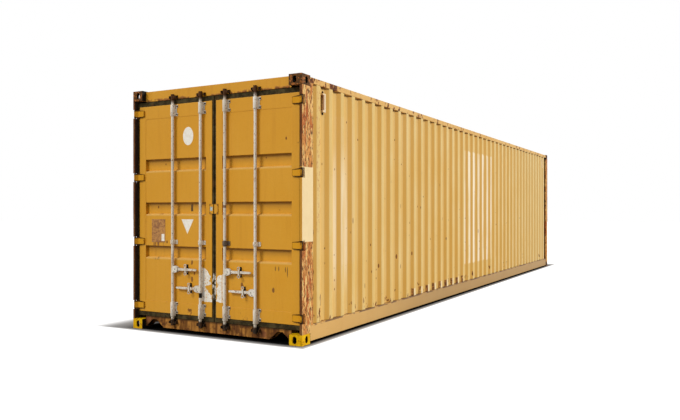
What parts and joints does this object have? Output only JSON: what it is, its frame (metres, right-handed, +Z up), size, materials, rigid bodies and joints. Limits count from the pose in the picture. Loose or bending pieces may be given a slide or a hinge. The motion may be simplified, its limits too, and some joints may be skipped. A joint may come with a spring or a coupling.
{
  "type": "shipping container",
  "caption": "Forty-foot steel dry freight container with corrugated walls and roof, cargo doors on hinges, turning lock bars with lift handles, plywood floor and corner castings.",
  "frame": {"origin": "middle of the base, on the level of the lower faces of the bottom castings", "axes": "+Z up; +Y along the container from the cargo doors to the closed front end; +X to the right for someone who faces the doors"},
  "size_m": [2.438, 12.192, 2.896],
  "materials": {
    "casting_yellow": "thick yellow brush paint, chipped",
    "casting_rusty": "worn paint over brown rust",
    "post_rusty": "yellow paint, peeling, with brown rust",
    "bare_steel": "dull and rusty",
    "shell_paint": "satin yellow paint with rust at the edges",
    "sill_rusty": "rusty brown with paint streaks",
    "rail_paint": "satin yellow paint, scuffed",
    "wall_paint": "faded yellow paint, scratched, with rust spots",
    "roof_paint": "faded yellow paint",
    "floor_plywood": "oiled plywood",
    "base_paint": "dark underbody paint",
    "vent_plastic": "matt, weathered",
    "keeper_steel": "worn paint over rust",
    "door_paint": "satin yellow paint, a little streaked",
    "seal_rubber": "matt and dusty",
    "hinge_paint": "yellow paint with rusty edges",
    "lock_paint": "pale grey galvanised paint with rust specks"
  },
  "bodies": {
    "container": {"castings_bottom_doors": "casting_yellow", "castings_bottom_front": "casting_rusty", "castings_top_doors": "casting_rusty", "castings_top_front": "casting_rusty", "door_post_left": "post_rusty", "door_post_right": "post_rusty", "hinge_pins": "bare_steel", "front_post_left": "post_rusty", "front_post_right": "post_rusty", "door_header": "shell_paint", "door_sill": "sill_rusty", "front_top_rail": "shell_paint", "front_bottom_rail": "sill_rusty", "top_side_rail_left": "rail_paint", "top_side_rail_right": "rail_paint", "bottom_side_rail_left": "rail_paint", "bottom_side_rail_right": "rail_paint", "side_wall_left": "wall_paint", "side_wall_right": "wall_paint", "front_wall": "wall_paint", "roof": "roof_paint", "floor": "floor_plywood", "cross_members": "base_paint", "gooseneck_tunnel": "base_paint", "ventilators": "vent_plastic", "cam_keepers": "keeper_steel"},
    "door_left": {"door_left_frame": "door_paint", "door_left_panel": "door_paint", "door_left_gasket": "seal_rubber", "door_left_hinge_blades": "hinge_paint", "door_left_seam_plate": "door_paint", "door_left_fittings": "lock_paint"},
    "door_right": {"door_right_frame": "door_paint", "door_right_panel": "door_paint", "door_right_gasket": "seal_rubber", "door_right_hinge_blades": "hinge_paint", "door_right_seam_plate": "door_paint", "door_right_fittings": "lock_paint"},
    "bar_1": {"lock_bar_1": "lock_paint"},
    "handle_1": {"lock_handle_1": "lock_paint"},
    "bar_2": {"lock_bar_2": "lock_paint"},
    "handle_2": {"lock_handle_2": "lock_paint"},
    "bar_3": {"lock_bar_3": "lock_paint"},
    "handle_3": {"lock_handle_3": "lock_paint"},
    "bar_4": {"lock_bar_4": "lock_paint"},
    "handle_4": {"lock_handle_4": "lock_paint"}
  },
  "joints": [
    {"name": "door_left_swing", "type": "hinge", "parent": "container", "child": "door_left", "pos_m": [-1.203, -6.072, 1.45], "axis": [0, 0, -1], "range_deg": [0, 262]},
    {"name": "door_right_swing", "type": "hinge", "parent": "container", "child": "door_right", "pos_m": [1.203, -6.072, 1.45], "axis": [0, 0, 1], "range_deg": [0, 262]},
    {"name": "bar_1_turn", "type": "hinge", "parent": "door_left", "child": "bar_1", "pos_m": [-0.6, -6.068, 1.45], "axis": [0, 0, 1], "range_deg": [-110, 0]},
    {"name": "bar_2_turn", "type": "hinge", "parent": "door_left", "child": "bar_2", "pos_m": [-0.177, -6.068, 1.45], "axis": [0, 0, -1], "range_deg": [-110, 0]},
    {"name": "bar_3_turn", "type": "hinge", "parent": "door_right", "child": "bar_3", "pos_m": [0.177, -6.068, 1.45], "axis": [0, 0, 1], "range_deg": [-110, 0]},
    {"name": "bar_4_turn", "type": "hinge", "parent": "door_right", "child": "bar_4", "pos_m": [0.6, -6.068, 1.45], "axis": [0, 0, -1], "range_deg": [-110, 0]},
    {"name": "handle_1_lift", "type": "hinge", "parent": "bar_1", "child": "handle_1", "pos_m": [-0.552, -6.068, 0.746], "axis": [0, -1, 0], "range_deg": [0, 28]},
    {"name": "handle_2_lift", "type": "hinge", "parent": "bar_2", "child": "handle_2", "pos_m": [-0.225, -6.068, 0.529], "axis": [0, 1, 0], "range_deg": [0, 28]},
    {"name": "handle_3_lift", "type": "hinge", "parent": "bar_3", "child": "handle_3", "pos_m": [0.225, -6.068, 0.746], "axis": [0, -1, 0], "range_deg": [0, 28]},
    {"name": "handle_4_lift", "type": "hinge", "parent": "bar_4", "child": "handle_4", "pos_m": [0.552, -6.068, 0.529], "axis": [0, 1, 0], "range_deg": [0, 28]}
  ]
}
